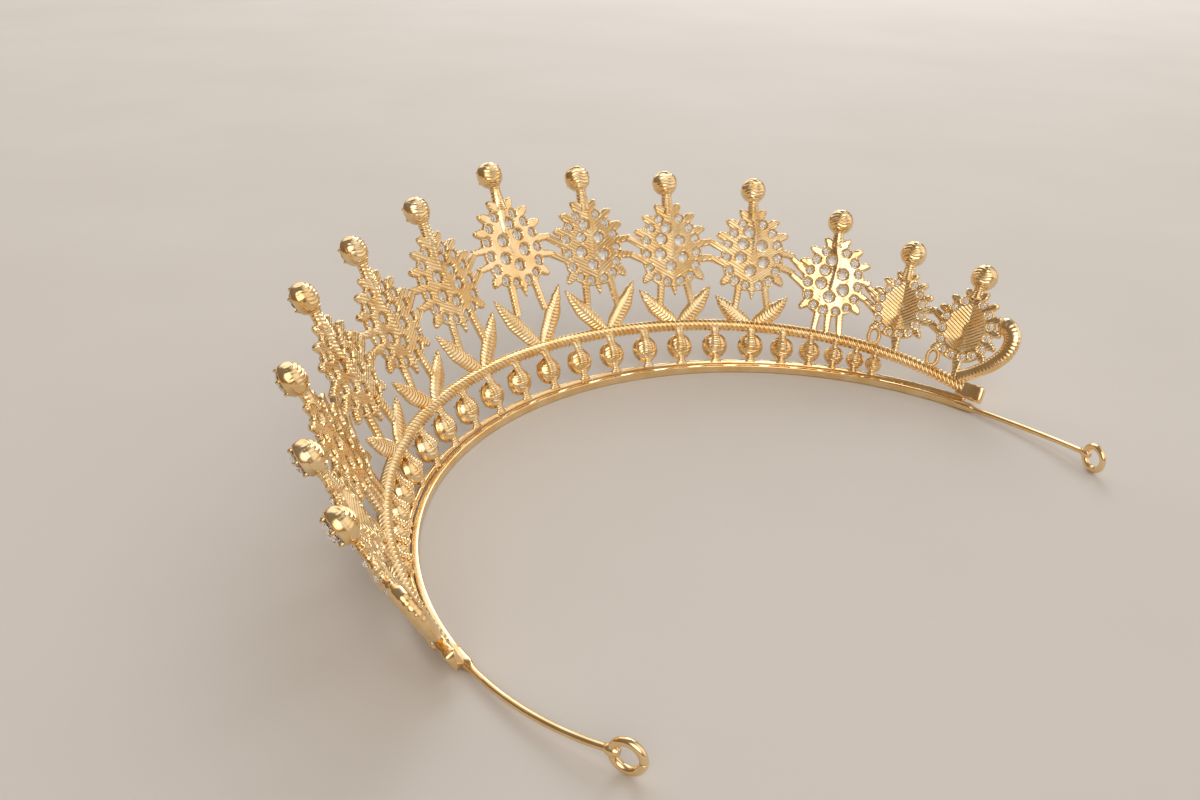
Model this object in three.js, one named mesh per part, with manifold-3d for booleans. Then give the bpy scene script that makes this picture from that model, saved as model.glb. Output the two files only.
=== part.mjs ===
// A tiara: one cast openwork gallery on a plain metal headband that ends in two eyelets.
// The gallery is a rope rail on a row of jewelled spindles, leaf pairs that carry thirteen
// pear clusters, a jewelled finial over each cluster, and a scroll at each end.
// Units are millimetres, +Z is up, and the front of the tiara faces -Y.
// Along the tiara, places are arc lengths on the headband from its front, positive to +X.
// In the gallery, heights are measured up its outward slope from the headband's underside,
// and depths outwards from the slope.

import * as THREE from "three";
import { mergeVertices } from "three/addons/utils/BufferGeometryUtils.js";
import Module from "manifold-3d";

// Headband
const BAND_RADIUS = 71.5;
const BAND_INSIDE = 0.5; // strip thickness inside that radius
const BAND_OUTSIDE = 0.7; // strip thickness outside it
const BAND_HEIGHT = 1.8;
const BAND_REACH = 105; // arc length of the strip on each side
const BAND_FACETS = 36;
const ARM_RADIUS = 0.6; // wire between the strip and the eyelet
const ARM_SIDES = 6;
const ARM_STEPS = 6;
const ARM_LAP = 3; // the wire starts this far inside the strip
const EYELET_REACH = 139;
const EYELET_OUTER = 3.25;
const EYELET_INNER = 1.75;
const EYELET_THICKNESS = 1.4;
const EYELET_CURVE_SEGMENTS = 6;

// Gallery slope
const LEAN = THREE.MathUtils.degToRad(27.6);
const SLOPE_OFFSET = 0.7; // at the bench the slope stands this far outside the band radius

// Rails
const RAIL_STEPS = 30;
const LOWER_RAIL = { height: 2.1, reach: 104, radius: 0.6, sides: 4 };
const ROPE_RAIL = { height: 12.3, reach: 103, radius: 1.5, sides: 6 };
const ROPE_FALL = [3.4, 3.7]; // fall at 100 mm of arc, by its square and by its fourth power

// Spindles between the rails, each a post with a domed cup behind a round stone
const SPINDLES_A_SIDE = 11;
const SPINDLE_PITCH = 8.63;
const EVEN_SPINDLES = 6; // the pitch is even this far out
const PITCH_RATIO = 0.875; // and shrinks by this for each spindle after that
const POST_WIDTH = 1.5;
const POST_INSET = 0.6; // the middle of the post stands this far inside the slope
const CUP_RADIUS = 3.15;
const CUP_RATIO = 0.91; // a closer spindle's cup is smaller by this
const CUP_SIDES = 8;
const CUP_BACK = 1.3; // depth of the dome inside the slope
const CUP_RIM = 0.9; // depth of the rim outside it

// Pear clusters by place from the front: arc length, height of the centre, size, finial's height
const CLUSTERS = [
  { arc: 0, height: 37.4, scale: 1.03, finial: 54.4 },
  { arc: 17.3, height: 34.1, scale: 1.02, finial: 50.6 },
  { arc: 34.5, height: 31.6, scale: 1.01, finial: 47.8 },
  { arc: 51.8, height: 30.0, scale: 1.0, finial: 45.7 },
  { arc: 69.2, height: 24.4, scale: 0.96, finial: 39.0 },
  { arc: 84.4, height: 20.0, scale: 0.8, finial: 33.4 },
  { arc: 99.0, height: 18.5, scale: 0.85, finial: 31.0 },
];
const PEAR_HALF_WIDTH = 7.9;
const PEAR_TOP = 9.6;
const PEAR_BOTTOM = 9.9;
const PEAR_TAPER = 1.3; // exponent of the half width towards the point
const PEAR_FULLNESS = [0.75, 0.85]; // exponents of width and height below the widest place
const PEAR_THICKNESS = 1.5;
const TOOTH_LENGTH = 2.3;
const TOOTH_LEAN = 0.5; // the tip of a tooth leans this far away from the pear's point
const CUSP_LENGTH = 2.2; // the tooth at the bottom
// Even steps round the outline, clockwise from the stalk. Even steps are beside the stones, and
// each odd one has a tooth, or an arm that reaches to a neighbour or to what carries the cluster.
const STEPS = 30;
const STALK_STEP = 0;
const LINK_STEPS = [7, 9]; // upper and lower bar to the neighbour on the +x side
const CUSP_STEP = 15;
const OPENWORK_REACH = 4; // clusters out to this place are openwork, and the rest are solid
const MIDDLE_SCALE = 0.66; // outline of a cluster's sunk middle
const MIDDLE_POINTS = 8;
const RIDGE_RISE = 0.7; // ridge down the back of an openwork cluster, at its top
const RIDGE_HALF_WIDTH = 1.2;
const RIDGE_SPAN = [8.6, -1.0]; // from its top to its point, at scale one
const HOLLOW_DEPTH = 0.7; // creased hollow in the back of a solid cluster

// What carries the clusters, by place from the front
const LEAF_TIP_RISES = [13.8, 12.0, 9.7, 7.8]; // above the rope rail
const LEAF_TIP_ARC = 8.1;
const LEAF_HALF_WIDTH = 2.1;
const LEAF_FLATNESS = 0.5;
const LEAF_SIDES = 6;
const LEG_STEPS = [[13, 17], [13, 17], [13, 17], [13, 17], [13, 15, 17], [15], [15]];
const LEG_SPREAD = 4.2; // the feet of a pair of legs stand this far from the cluster's middle
const LEG_SPREAD_ON_RAIL = 3.3;
const LEG_HALF_WIDTH = 0.75;
const TIE_ARCS = [80.0, 93.9]; // pierced ties from the rope rail to the two outer clusters
const TIE_RISE = 3.2; // centre of a tie above the rope rail
const TIE_OUTER = [1.7, 2.7];
const TIE_INNER = [0.8, 1.1];
const TIE_SIDES = 8;
const TIE_THICKNESS = 1.2;

// Links between neighbouring clusters, two bars about an oval gap
const LINK_HALF_WIDTH = 0.8;
const LINK_RISES = [2.0, -2.2]; // from the mean height of the two centres
const LINK_LAP = 0.5; // the two halves of a bar lap by this where they meet

// Stalks and finials
const STALK_HALF_WIDTH = 1.0; // under the finial
const STALK_FOOT = { halfWidth: 1.3, inset: 0.9 }; // where it leaves the pear's point
const FINIAL_RADIUS = 3.1;
const FINIAL_SIDES = 8;
const FINIAL_BACK = 2.5; // depth of the dome inside the slope
const FINIAL_RIM = 1.2; // depth of the flat rim outside it

// End scroll and end block, in millimetres along and up the slope from the block's centre
const BLOCK_ARC = 104.6;
const BLOCK_HEIGHT = 4.1;
const BLOCK_SIZE = [6.8, 4.0, 2.2];
const SCROLL_PATH = [
  [-4.0, 2.6],
  [-0.7, 4.9],
  [2.3, 7.6],
  [4.6, 11.1],
  [4.8, 14.7],
  [3.0, 16.9],
  [0.5, 16.7],
];
const SCROLL_HALF_DEPTH = 1.3;
const SCROLL_HALF_WIDTH = 1.9;
const SCROLL_SIDES = 6;
const SCROLL_STEPS = 12;
const SCROLL_TIP_RADIUS = 2.0;

// Stones
const STONE_GAP = 0.3; // clearance between a stone and its cup
const FINIAL_STONE = { radius: 2.65, height: 1.6, sides: 8 };
const RAIL_STONE_RATIO = 0.84; // radius of a spindle's stone over that of its cup
const RAIL_STONE_HEIGHT = 1.1;
const RAIL_STONE_SIDES = 6;
const TABLE_RATIO = 0.55; // flat top of a stone over its girdle

const gold = new THREE.MeshStandardMaterial({ color: 0xd9a855, metalness: 1, roughness: 0.28 });
const crystal = new THREE.MeshStandardMaterial({
  color: 0xf4f6f8,
  metalness: 0,
  roughness: 0.05,
  transparent: true,
  opacity: 0.45,
});

const wasm = await Module();
wasm.setup();

// Places on the tiara

function bandPoint(arc, z) {
  const angle = arc / BAND_RADIUS;
  return new THREE.Vector3(BAND_RADIUS * Math.sin(angle), -BAND_RADIUS * Math.cos(angle), z);
}

function slopePoint(arc, height, depth = 0) {
  const reach = SLOPE_OFFSET + height * Math.sin(LEAN) + depth * Math.cos(LEAN);
  const rise = height * Math.cos(LEAN) - depth * Math.sin(LEAN);
  const share = (BAND_RADIUS + reach) / BAND_RADIUS;
  return bandPoint(arc, 0).multiplyScalar(share).setZ(rise);
}

// A frame on the slope: x along the tiara, y up the slope, z outwards.
function slopeFrame(arc, height, depth = 0) {
  const angle = arc / BAND_RADIUS;
  const along = new THREE.Vector3(Math.cos(angle), Math.sin(angle), 0);
  const up = new THREE.Vector3(Math.sin(angle), -Math.cos(angle), 0).multiplyScalar(Math.sin(LEAN));
  up.setZ(Math.cos(LEAN));
  const frame = new THREE.Matrix4().makeBasis(along, up, along.clone().cross(up));
  return frame.setPosition(slopePoint(arc, height, depth));
}

// Arc length on the headband that spans a length along the slope at some height.
function arcFor(length, height) {
  const reach = SLOPE_OFFSET + height * Math.sin(LEAN);
  return (length * BAND_RADIUS) / (BAND_RADIUS + reach);
}

function ropeHeight(arc) {
  const share = (arc / 100) ** 2;
  return ROPE_RAIL.height - ROPE_FALL[0] * share - ROPE_FALL[1] * share * share;
}

function spindleArc(index) {
  const even = Math.min(index, EVEN_SPINDLES);
  const closer = Math.max(index - EVEN_SPINDLES, 0);
  const tail = (PITCH_RATIO * (1 - PITCH_RATIO ** closer)) / (1 - PITCH_RATIO);
  return SPINDLE_PITCH * (even + tail);
}

// Solids

// A closed three.js geometry as a solid that can be joined and cut.
function solid(geometry, matrix = new THREE.Matrix4()) {
  const bare = geometry.clone().applyMatrix4(matrix);
  bare.deleteAttribute("normal");
  bare.deleteAttribute("uv");
  const merged = mergeVertices(bare, 1e-4);
  return new wasm.Manifold(
    new wasm.Mesh({
      numProp: 3,
      vertProperties: merged.getAttribute("position").array,
      triVerts: new Uint32Array(merged.index.array),
    }),
  );
}

function join(solids) {
  return solids.reduce((whole, piece) => whole.add(piece));
}

function geometryOf(whole) {
  const { vertProperties, triVerts } = whole.getMesh();
  const geometry = new THREE.BufferGeometry();
  geometry.setAttribute("position", new THREE.BufferAttribute(vertProperties, 3));
  return geometry.setIndex(new THREE.BufferAttribute(triVerts, 1));
}

function namedMesh(name, geometry, material) {
  const mesh = new THREE.Mesh(geometry, material);
  mesh.name = name;
  return mesh;
}

function ellipsePoints(halfWidth, halfHeight, sides) {
  return Array.from({ length: sides }, (_, i) => {
    const turn = (2 * Math.PI * (i + 0.5)) / sides;
    return new THREE.Vector2(halfWidth * Math.cos(turn), halfHeight * Math.sin(turn));
  });
}

// A plate whose thickness is shared by both sides of the plane of its outline.
function plate(shape, thickness, curveSegments = 1) {
  const settings = { depth: thickness, bevelEnabled: false, curveSegments };
  return new THREE.ExtrudeGeometry(shape, settings).translate(0, 0, -thickness / 2);
}

// A rod along a smooth curve, its section given as half width, half height and number of sides.
function rod(points, section, steps) {
  const extrudePath = new THREE.CatmullRomCurve3(points);
  const shape = new THREE.Shape(ellipsePoints(...section));
  return new THREE.ExtrudeGeometry(shape, { extrudePath, steps, bevelEnabled: false, curveSegments: 1 });
}

// A lathe about the normal of a frame on the slope, its profile given as radius and depth.
function slopeLathe(profile, sides, frame) {
  const points = profile.map(([radius, depth]) => new THREE.Vector2(radius, depth));
  return solid(new THREE.LatheGeometry(points, sides).rotateX(Math.PI / 2), frame);
}

// A frame between two places on the slope: y from one to the other, z outwards.
function spanFrame(from, to) {
  const start = slopePoint(...from);
  const end = slopePoint(...to);
  const along = end.clone().sub(start).normalize();
  const normal = new THREE.Vector3().setFromMatrixColumn(slopeFrame((from[0] + to[0]) / 2, 0), 2);
  const across = along.clone().cross(normal).normalize();
  const frame = new THREE.Matrix4().makeBasis(across, along, across.clone().cross(along));
  frame.setPosition(start);
  return { frame, length: start.distanceTo(end) };
}

function bar(from, to, width, thickness) {
  const { frame, length } = spanFrame(from, to);
  const box = new THREE.BoxGeometry(width, length, thickness).translate(0, length / 2, 0);
  return solid(box, frame);
}

// Headband

function bandStrip() {
  const reach = BAND_REACH / BAND_RADIUS;
  const front = -Math.PI / 2;
  const shape = new THREE.Shape();
  shape.absarc(0, 0, BAND_RADIUS + BAND_OUTSIDE, front - reach, front + reach, false);
  shape.absarc(0, 0, BAND_RADIUS - BAND_INSIDE, front + reach, front - reach, true);
  const settings = { depth: BAND_HEIGHT, bevelEnabled: false, curveSegments: BAND_FACETS / 2 };
  return solid(new THREE.ExtrudeGeometry(shape, settings));
}

// The wire rises from the strip to the middle of the eyelet, whose lowest point is on the bench.
function arm(side) {
  const start = BAND_REACH - ARM_LAP;
  const end = EYELET_REACH - (EYELET_OUTER + EYELET_INNER) / 2;
  const points = Array.from({ length: ARM_STEPS + 1 }, (_, i) => {
    const share = i / ARM_STEPS;
    const z = THREE.MathUtils.lerp(BAND_HEIGHT / 2, EYELET_OUTER, share ** 2);
    return bandPoint(side * THREE.MathUtils.lerp(start, end, share), z);
  });
  return solid(rod(points, [ARM_RADIUS, ARM_RADIUS, ARM_SIDES], ARM_STEPS));
}

function eyelet(side) {
  const shape = new THREE.Shape().absarc(0, 0, EYELET_OUTER, 0, 2 * Math.PI, false);
  shape.holes.push(new THREE.Path().absarc(0, 0, EYELET_INNER, 0, 2 * Math.PI, true));
  const angle = (side * EYELET_REACH) / BAND_RADIUS;
  const along = new THREE.Vector3(Math.cos(angle), Math.sin(angle), 0);
  const up = new THREE.Vector3(0, 0, 1);
  const frame = new THREE.Matrix4().makeBasis(along, up, along.clone().cross(up));
  frame.setPosition(bandPoint(side * EYELET_REACH, EYELET_OUTER));
  return solid(plate(shape, EYELET_THICKNESS, EYELET_CURVE_SEGMENTS), frame);
}

function headband() {
  return join([bandStrip(), arm(-1), arm(1), eyelet(-1), eyelet(1)]);
}

// Rails and spindles

function rail({ reach, radius, sides }, heightAt) {
  const points = Array.from({ length: RAIL_STEPS + 1 }, (_, i) => {
    const arc = THREE.MathUtils.lerp(-reach, reach, i / RAIL_STEPS);
    return slopePoint(arc, heightAt(arc));
  });
  return solid(rod(points, [radius, radius, sides], RAIL_STEPS));
}

function cupRadius(index) {
  return CUP_RADIUS * CUP_RATIO ** Math.max(index - EVEN_SPINDLES, 0);
}

function cupHeight(arc) {
  const bottom = LOWER_RAIL.height + LOWER_RAIL.radius;
  const top = ropeHeight(arc) - ROPE_RAIL.radius;
  return (bottom + top) / 2;
}

function spindle(side, index) {
  const arc = side * spindleArc(index);
  const radius = cupRadius(index);
  const cup = [
    [0, -CUP_BACK],
    [radius, 0.2 * CUP_RIM],
    [0.95 * radius, CUP_RIM],
    [0, CUP_RIM],
  ];
  const foot = [arc, LOWER_RAIL.height, -POST_INSET / 2];
  const head = [arc, ropeHeight(arc), -POST_INSET];
  return [
    bar(foot, head, POST_WIDTH, POST_WIDTH),
    slopeLathe(cup, CUP_SIDES, slopeFrame(arc, cupHeight(arc))),
  ];
}

// Pear clusters

// Outline of a pear of scale one, from its point at turn 0 to its bottom at half a turn.
function pearPoint(turn) {
  const across = Math.sin(turn);
  const upwards = Math.cos(turn);
  const powers = upwards >= 0 ? [PEAR_TAPER, 1] : PEAR_FULLNESS;
  const reach = upwards >= 0 ? PEAR_TOP : PEAR_BOTTOM;
  return new THREE.Vector3(
    PEAR_HALF_WIDTH * Math.sign(across) * Math.abs(across) ** powers[0],
    reach * Math.sign(upwards) * Math.abs(upwards) ** powers[1],
    0,
  );
}

// Evenly spaced points on the pear's outline, clockwise from its point.
function pearOutline(count, scale) {
  const fineSteps = 72;
  const fine = Array.from({ length: fineSteps }, (_, i) => pearPoint((2 * Math.PI * i) / fineSteps));
  const curve = new THREE.CatmullRomCurve3(fine, true);
  const spaced = curve.getSpacedPoints(count).slice(0, count);
  return spaced.map(({ x, y }) => new THREE.Vector2(scale * x, scale * y));
}

// The toothed outline of a cluster. Arms maps a step to the far end of its arm, that end's half
// width and, where the arm has a foot of its own, the foot's half width and inset.
function clusterShape(scale, arms) {
  const outline = pearOutline(STEPS, scale);
  const points = outline.flatMap((point, step) => {
    const onwards = outline[(step + 1) % STEPS].clone().sub(outline.at(step - 1)).normalize();
    const outwards = new THREE.Vector2(-onwards.y, onwards.x);
    if (arms.has(step)) {
      const { x, y, halfWidth, foot } = arms.get(step);
      const far = new THREE.Vector2(x, y);
      const reach = far.clone().sub(point).normalize();
      const across = new THREE.Vector2(reach.y, -reach.x);
      const ends = [-1, 1].map((hand) => far.clone().addScaledVector(across, hand * halfWidth));
      if (!foot) return ends;
      const root = point.clone().addScaledVector(outwards, -foot.inset);
      const feet = [-1, 1].map((hand) => root.clone().addScaledVector(onwards, hand * foot.halfWidth));
      return [feet[0], ...ends, feet[1]];
    }
    if (step % 2 === 0) return [point];
    const length = step === CUSP_STEP ? CUSP_LENGTH : TOOTH_LENGTH;
    const lean = TOOTH_LEAN * Math.sign(CUSP_STEP - step);
    return [point.addScaledVector(outwards, scale * length).addScaledVector(onwards, scale * lean)];
  });
  return new THREE.Shape(points.reverse());
}

// A ridge down the back of the plate, widest and highest at its top.
function ridge(scale, frame) {
  const [top, point] = RIDGE_SPAN.map((y) => scale * y);
  const wedge = new THREE.ConeGeometry(scale * RIDGE_HALF_WIDTH, top - point, 4).rotateZ(Math.PI);
  wedge.scale(1, 1, RIDGE_RISE / (scale * RIDGE_HALF_WIDTH));
  return solid(wedge.translate(0, (top + point) / 2, -PEAR_THICKNESS / 2), frame);
}

// The hollow falls from both sides to a crease down its middle.
function hollow(scale, frame) {
  const back = -PEAR_THICKNESS / 2;
  const half = scale * MIDDLE_SCALE * PEAR_HALF_WIDTH;
  const length = 2 * PEAR_TOP;
  const shape = new THREE.Shape([
    new THREE.Vector2(-2 * half, -HOLLOW_DEPTH),
    new THREE.Vector2(2 * half, -HOLLOW_DEPTH),
    new THREE.Vector2(0, HOLLOW_DEPTH),
  ]);
  const wedge = plate(shape, length).rotateX(Math.PI / 2).translate(0, 0, back);
  const middle = new THREE.Shape(pearOutline(MIDDLE_POINTS, scale * MIDDLE_SCALE));
  return solid(wedge, frame).intersect(solid(plate(middle, 4 * PEAR_THICKNESS), frame));
}

function finialCup(arc, height) {
  const profile = [
    [0, -FINIAL_BACK],
    [0.7 * FINIAL_RADIUS, -0.7 * FINIAL_BACK],
    [FINIAL_RADIUS, 0],
    [FINIAL_RADIUS, FINIAL_RIM],
    [0, FINIAL_RIM],
  ];
  return slopeLathe(profile, FINIAL_SIDES, slopeFrame(arc, height));
}

function leafTipRise(place, arc) {
  return (Math.abs(arc) / LEAF_TIP_ARC) * LEAF_TIP_RISES[place];
}

// The arms of the cluster at a place: its stalk, its legs and its half of each link bar.
function clusterArms(place) {
  const { arc, height, scale, finial } = CLUSTERS[place];
  const stalk = { x: 0, y: finial - height, halfWidth: STALK_HALF_WIDTH, foot: STALK_FOOT };
  const arms = new Map([[STALK_STEP, stalk]]);
  const onLeaves = place < LEAF_TIP_RISES.length;
  for (const step of LEG_STEPS[place]) {
    const x = Math.sign(CUSP_STEP - step) * (onLeaves ? LEG_SPREAD : LEG_SPREAD_ON_RAIL);
    const legArc = arcFor(x, height - PEAR_BOTTOM);
    const foot = onLeaves ? ropeHeight(arc) + leafTipRise(place, legArc) : ropeHeight(arc + legArc);
    arms.set(step, { x, y: foot - height, halfWidth: LEG_HALF_WIDTH });
  }
  for (const hand of [-1, 1]) {
    const next = CLUSTERS[Math.abs(place + hand)];
    if (!next) continue;
    const nextArc = place + hand < 0 ? -next.arc : next.arc;
    const meeting = (nextArc - arc) / 2;
    const middle = (height + next.height) / 2;
    LINK_RISES.forEach((rise, i) => {
      const at = slopePoint(meeting, middle + rise * scale).applyMatrix4(slopeFrame(0, height).invert());
      const step = hand > 0 ? LINK_STEPS[i] : STEPS - LINK_STEPS[i];
      arms.set(step, { x: at.x + hand * LINK_LAP, y: at.y, halfWidth: LINK_HALF_WIDTH });
    });
  }
  return arms;
}

// Steps and arms are those of the +x side, and the other side mirrors them.
function cluster(side, place) {
  const { arc, height, scale, finial } = CLUSTERS[place];
  const frame = slopeFrame(side * arc, height);
  const arms = new Map();
  for (const [step, arm] of clusterArms(place)) {
    arms.set(side > 0 ? step : (STEPS - step) % STEPS, { ...arm, x: side * arm.x });
  }
  const pear = solid(plate(clusterShape(scale, arms), PEAR_THICKNESS), frame);
  const openwork = place <= OPENWORK_REACH;
  return [
    openwork ? pear.add(ridge(scale, frame)) : pear.subtract(hollow(scale, frame)),
    finialCup(side * arc, finial),
  ];
}

// Leaves, ties and ends

function leaf(from, to) {
  const { frame, length } = spanFrame(from, to);
  const profile = [
    [0, 0],
    [0.9, 0.3],
    [0.85, 0.66],
    [0, 1],
  ];
  const points = profile.map(([width, share]) => {
    return new THREE.Vector2(width * LEAF_HALF_WIDTH, share * length);
  });
  return solid(new THREE.LatheGeometry(points, LEAF_SIDES).scale(1, 1, LEAF_FLATNESS), frame);
}

function leafPair(side, place) {
  const arc = side * CLUSTERS[place].arc;
  const base = ropeHeight(arc);
  const tip = base + LEAF_TIP_RISES[place];
  return [-1, 1].map((hand) => leaf([arc, base], [arc + hand * LEAF_TIP_ARC, tip]));
}

function tie(side, arc) {
  const shape = new THREE.Shape(ellipsePoints(...TIE_OUTER, TIE_SIDES));
  shape.holes.push(new THREE.Path(ellipsePoints(...TIE_INNER, TIE_SIDES).reverse()));
  return solid(plate(shape, TIE_THICKNESS), slopeFrame(side * arc, ropeHeight(arc) + TIE_RISE));
}

function end(side) {
  const frame = slopeFrame(side * BLOCK_ARC, BLOCK_HEIGHT);
  const points = SCROLL_PATH.map(([x, y]) => new THREE.Vector3(side * x, y, 0));
  const section = [SCROLL_HALF_DEPTH, SCROLL_HALF_WIDTH, SCROLL_SIDES];
  const tip = new THREE.OctahedronGeometry(SCROLL_TIP_RADIUS, 1);
  tip.translate(...points.at(-1).toArray());
  return [
    solid(new THREE.BoxGeometry(...BLOCK_SIZE), frame),
    solid(rod(points, section, SCROLL_STEPS), frame),
    solid(tip, frame),
  ];
}

function gallery() {
  const pieces = [
    rail(LOWER_RAIL, () => LOWER_RAIL.height),
    rail(ROPE_RAIL, ropeHeight),
    ...spindle(1, 0),
    ...cluster(1, 0),
    ...leafPair(1, 0),
  ];
  for (const side of [-1, 1]) {
    for (let index = 1; index <= SPINDLES_A_SIDE; index++) {
      pieces.push(...spindle(side, index));
    }
    for (let place = 1; place < CLUSTERS.length; place++) {
      pieces.push(...cluster(side, place));
    }
    for (let place = 1; place < LEAF_TIP_RISES.length; place++) {
      pieces.push(...leafPair(side, place));
    }
    pieces.push(...TIE_ARCS.map((arc) => tie(side, arc)), ...end(side));
  }
  return join(pieces);
}

// Stones

function stoneGeometry(radius, height, sides) {
  const points = [
    new THREE.Vector2(0, 0),
    new THREE.Vector2(radius, 0),
    new THREE.Vector2(TABLE_RATIO * radius, height),
    new THREE.Vector2(0, height),
  ];
  return new THREE.LatheGeometry(points, sides).rotateX(Math.PI / 2);
}

function stone(name, geometry, frame) {
  const mesh = namedMesh(name, geometry, crystal);
  mesh.applyMatrix4(frame);
  return mesh;
}

// Calls make(side, index, number) from the far left to the far right of a row.
function row(reach, make) {
  return Array.from({ length: 2 * reach + 1 }, (_, i) => {
    const place = i - reach;
    return make(Math.sign(place) || 1, Math.abs(place), String(i + 1).padStart(2, "0"));
  });
}

function finialStones() {
  const geometry = stoneGeometry(FINIAL_STONE.radius, FINIAL_STONE.height, FINIAL_STONE.sides);
  return row(CLUSTERS.length - 1, (side, place, number) => {
    const { arc, finial } = CLUSTERS[place];
    return stone(`finial_stone_${number}`, geometry, slopeFrame(side * arc, finial, FINIAL_RIM + STONE_GAP));
  });
}

function railStones() {
  return row(SPINDLES_A_SIDE, (side, index, number) => {
    const arc = side * spindleArc(index);
    const radius = RAIL_STONE_RATIO * cupRadius(index);
    const geometry = stoneGeometry(radius, RAIL_STONE_HEIGHT, RAIL_STONE_SIDES);
    const frame = slopeFrame(arc, cupHeight(arc), CUP_RIM + STONE_GAP);
    return stone(`rail_stone_${number}`, geometry, frame);
  });
}

const pieces = new THREE.Group();
pieces.add(namedMesh("headband", geometryOf(headband()), gold));
pieces.add(namedMesh("gallery_casting", geometryOf(gallery()), gold));
pieces.add(...finialStones(), ...railStones());

// The origin is on the bench, under the middle of the tiara's length and breadth.
const box = new THREE.Box3().setFromObject(pieces, true);
pieces.position.y = -(box.min.y + box.max.y) / 2;

const tiara = new THREE.Group();
tiara.add(pieces);

export default tiara;
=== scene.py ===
import math

import bmesh
import bpy
import numpy as np
from mathutils import Matrix, Vector


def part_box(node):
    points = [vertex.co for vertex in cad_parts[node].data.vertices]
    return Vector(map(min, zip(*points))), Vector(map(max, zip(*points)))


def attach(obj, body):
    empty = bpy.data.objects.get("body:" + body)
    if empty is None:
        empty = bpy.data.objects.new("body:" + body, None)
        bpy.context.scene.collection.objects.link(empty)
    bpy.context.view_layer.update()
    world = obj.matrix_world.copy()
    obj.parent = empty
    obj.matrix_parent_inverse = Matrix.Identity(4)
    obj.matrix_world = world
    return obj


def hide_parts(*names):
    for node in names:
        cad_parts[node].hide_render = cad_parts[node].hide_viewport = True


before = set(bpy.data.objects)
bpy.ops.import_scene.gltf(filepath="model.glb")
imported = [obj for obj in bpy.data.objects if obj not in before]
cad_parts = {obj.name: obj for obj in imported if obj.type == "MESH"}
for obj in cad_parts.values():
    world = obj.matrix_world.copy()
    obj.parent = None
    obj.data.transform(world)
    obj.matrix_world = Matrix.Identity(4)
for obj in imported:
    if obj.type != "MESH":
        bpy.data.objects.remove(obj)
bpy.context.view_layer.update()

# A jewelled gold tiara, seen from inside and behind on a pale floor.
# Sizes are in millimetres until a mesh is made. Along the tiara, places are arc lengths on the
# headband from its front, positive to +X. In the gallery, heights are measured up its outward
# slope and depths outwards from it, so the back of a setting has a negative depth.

MM = 0.001

# Headband
BAND_RADIUS = 71.5
BAND_INSIDE = 0.5
BAND_OUTSIDE = 0.7
BAND_HEIGHT = 1.8
BAND_REACH = 105.0
ARM_RADIUS = 0.6
EYELET_REACH = 139.0
EYELET_OUTER = 3.25
EYELET_INNER = 1.75

# Gallery slope, rails and spindles
LEAN = math.radians(27.6)
SLOPE_OFFSET = 0.7
LOWER_RAIL_HEIGHT = 2.1
LOWER_RAIL_REACH = 104.0
LOWER_RAIL_RADIUS = 0.6
ROPE_HEIGHT = 12.3
ROPE_FALL = (3.4, 3.7)
ROPE_REACH = 103.0
ROPE_RADIUS = 1.5
ROPE_RIB_PITCH = 1.2
ROPE_STRANDS = 5
SPINDLES_A_SIDE = 11
SPINDLE_PITCH = 8.63
EVEN_SPINDLES = 6
PITCH_RATIO = 0.875
CUP_RADIUS = 3.15
CUP_RATIO = 0.91
CUP_BACK = 2.0
CUP_RIM = 0.9
CUP_RIB_PITCH = 0.8
CUP_RIB_DEPTH = 0.1
CLAW_RISE = 1.9  # height of a claw against its width

# Clusters from the front outwards: arc, height of the centre, size and height of the finial
CLUSTERS = (
    (0.0, 37.4, 1.03, 54.4),
    (17.3, 34.1, 1.02, 50.6),
    (34.5, 31.6, 1.01, 47.8),
    (51.8, 30.0, 1.0, 45.7),
    (69.2, 24.4, 0.96, 39.0),
    (84.4, 20.0, 0.8, 33.4),
    (99.0, 18.5, 0.85, 31.0),
)
OPENWORK_REACH = 4
PEAR_HALF_WIDTH = 7.9
PEAR_TOP = 9.6
PEAR_BOTTOM = 9.9
PEAR_TAPER = 1.3
PEAR_FULLNESS = (0.75, 0.85)
PEAR_THICKNESS = 1.5

# Places round a pear, clockwise from the stalk: fourteen stones share the ring with it
PLACES = 15
TOOTH_PLACES = (0.5, 1.5, 2.5, 5.5)
CUSP_PLACE = 7.5
LINK_PLACES = (3.5, 4.5)
LEG_PLACE = 6.5
RING_INSET = 1.4
RING_HOLE_RADIUS = 0.9
INNER_HOLES = ((-0.9, 4.9), (-2.3, 2.1), (2.2, 1.4), (-2.9, -1.5), (2.8, -2.7), (-0.5, -4.7))
INNER_HOLE_RADIUS = 1.2
COLLAR = 0.5  # metal left round a hole
EDGE_ROUND = 0.6
MIDDLE_SCALE = 0.7  # size of a solid cluster's sunk middle against its pear
HOLLOW_DEPTH = 1.5
VEIN_PITCH = 0.85
VEIN_RISE = 0.62
OPENWORK_VEIN_DEPTH = 0.065
SOLID_VEIN_DEPTH = 0.09
STALK_FOOT_HEIGHT = 7.2
STALK_HALF_WIDTHS = (1.7, 0.9)
OPENWORK_STEP = 0.2  # spacing of the mesh of a plate
SOLID_STEP = 0.17

# What carries and joins the clusters
LEAF_TIP_RISES = (13.8, 12.0, 9.7, 7.8)
LEAF_TIP_ARC = 8.1
LEAF_HALF_WIDTH = 2.1
LEG_SPREAD = 4.2
LINK_RISES = (2.0, -2.2)
LINK_LAP = 0.5
TIE_ARCS = (80.0, 93.9)
TIE_RISE = 3.2

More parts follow.
